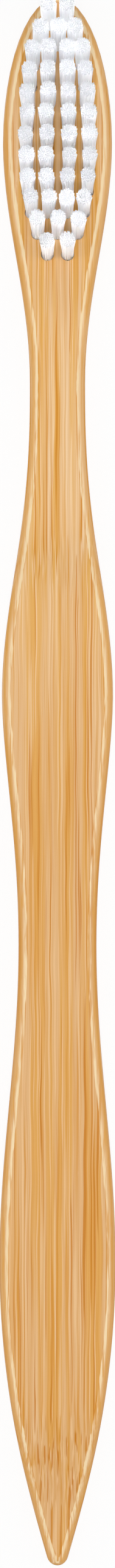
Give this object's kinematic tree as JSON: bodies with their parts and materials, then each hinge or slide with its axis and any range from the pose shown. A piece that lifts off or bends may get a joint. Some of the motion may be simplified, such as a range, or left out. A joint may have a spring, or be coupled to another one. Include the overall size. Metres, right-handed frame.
{
  "type": "manual toothbrush",
  "caption": "Manual toothbrush with a one-piece bamboo handle and upright nylon tufts, each folded round a metal anchor in its own blind hole in the head.",
  "frame": {"origin": "on the flat back, on the centreline, half-way between the tip of the head and the tip of the tail", "axes": "+Y along the brush to the tip of the head, +X across it, +Z out of the front face, the way the tufts point"},
  "size_m": [0.014, 0.19, 0.0161],
  "materials": {
    "bamboo": "fine-sanded, oiled, satin",
    "bristle": "translucent white nylon",
    "anchor_wire": "drawn flat wire"
  },
  "bodies": {
    "root": {"handle": "bamboo", "anchors": "anchor_wire", "tuft_row01_left": "bristle", "tuft_row01_right": "bristle", "tuft_row02_left": "bristle", "tuft_row02_middle": "bristle", "tuft_row02_right": "bristle", "tuft_row03_outer_left": "bristle", "tuft_row03_inner_left": "bristle", "tuft_row03_inner_right": "bristle", "tuft_row03_outer_right": "bristle", "tuft_row04_outer_left": "bristle", "tuft_row04_inner_left": "bristle", "tuft_row04_inner_right": "bristle", "tuft_row04_outer_right": "bristle", "tuft_row05_outer_left": "bristle", "tuft_row05_inner_left": "bristle", "tuft_row05_inner_right": "bristle", "tuft_row05_outer_right": "bristle", "tuft_row06_outer_left": "bristle", "tuft_row06_inner_left": "bristle", "tuft_row06_inner_right": "bristle", "tuft_row06_outer_right": "bristle", "tuft_row07_outer_left": "bristle", "tuft_row07_inner_left": "bristle", "tuft_row07_inner_right": "bristle", "tuft_row07_outer_right": "bristle", "tuft_row08_outer_left": "bristle", "tuft_row08_inner_left": "bristle", "tuft_row08_inner_right": "bristle", "tuft_row08_outer_right": "bristle", "tuft_row09_outer_left": "bristle", "tuft_row09_inner_left": "bristle", "tuft_row09_inner_right": "bristle", "tuft_row09_outer_right": "bristle", "tuft_row10_outer_left": "bristle", "tuft_row10_inner_left": "bristle", "tuft_row10_inner_right": "bristle", "tuft_row10_outer_right": "bristle", "tuft_row11_left": "bristle", "tuft_row11_middle": "bristle", "tuft_row11_right": "bristle", "tuft_row12_left": "bristle", "tuft_row12_right": "bristle"}
  },
  "joints": []
}
